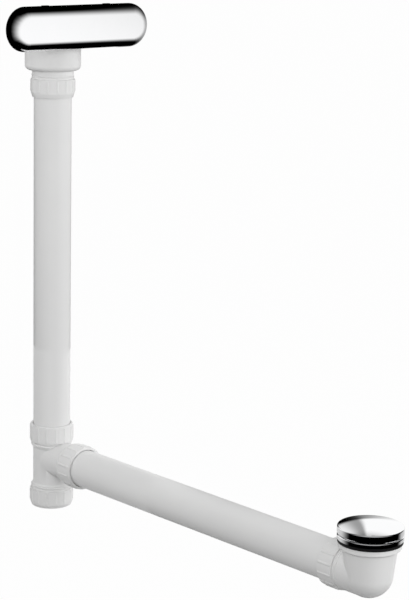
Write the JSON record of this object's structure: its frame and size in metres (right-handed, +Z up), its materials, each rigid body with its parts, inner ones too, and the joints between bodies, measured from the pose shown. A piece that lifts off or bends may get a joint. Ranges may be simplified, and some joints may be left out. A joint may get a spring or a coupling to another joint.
{
  "type": "bath waste and overflow",
  "caption": "Column bath waste and overflow: oval overflow cover on a hopper, tube, tee with open outlet, cross tube, waste elbow and a push plug that lifts.",
  "frame": {"origin": "middle of the chromed waste flange's underside, where it seats on the bath floor", "axes": "+Z up along the waste axis, +X from the overflow column towards the waste, overflow faces +X"},
  "size_m": [0.5365, 0.1814, 0.5471],
  "materials": {
    "white_plastic": "satin",
    "black_rubber": "matte",
    "chrome": "polished",
    "steel": "satin",
    "brass": "turned",
    "grey_plastic": "moulded"
  },
  "bodies": {
    "fittings": {"overflow_housing": "white_plastic", "overflow_nut": "white_plastic", "overflow_tube": "white_plastic", "tee_body": "white_plastic", "tee_top_nut": "white_plastic", "tee_branch_nut": "white_plastic", "tee_outlet_nut": "white_plastic", "waste_tube": "white_plastic", "elbow_nut": "white_plastic", "waste_elbow": "white_plastic", "overflow_gasket": "black_rubber", "floor_gasket": "black_rubber", "flange_seal": "black_rubber", "overflow_nut_seal": "black_rubber", "tee_top_seal": "black_rubber", "tee_branch_seal": "black_rubber", "tee_outlet_seal": "black_rubber", "elbow_nut_seal": "black_rubber", "overflow_cover": "chrome", "waste_flange": "chrome", "overflow_screws": "steel", "plug_spring": "steel", "overflow_frame": "grey_plastic", "click_cartridge": "grey_plastic", "cartridge_cap": "grey_plastic"},
    "plug": {"plug_cap": "chrome", "plug_seal": "black_rubber", "plug_plunger": "brass"}
  },
  "joints": [
    {"name": "plug_lift", "type": "slide", "parent": "fittings", "child": "plug", "axis": [0, 0, 1], "range_m": [0, 0.009], "deforming": ["plug_spring"]}
  ]
}
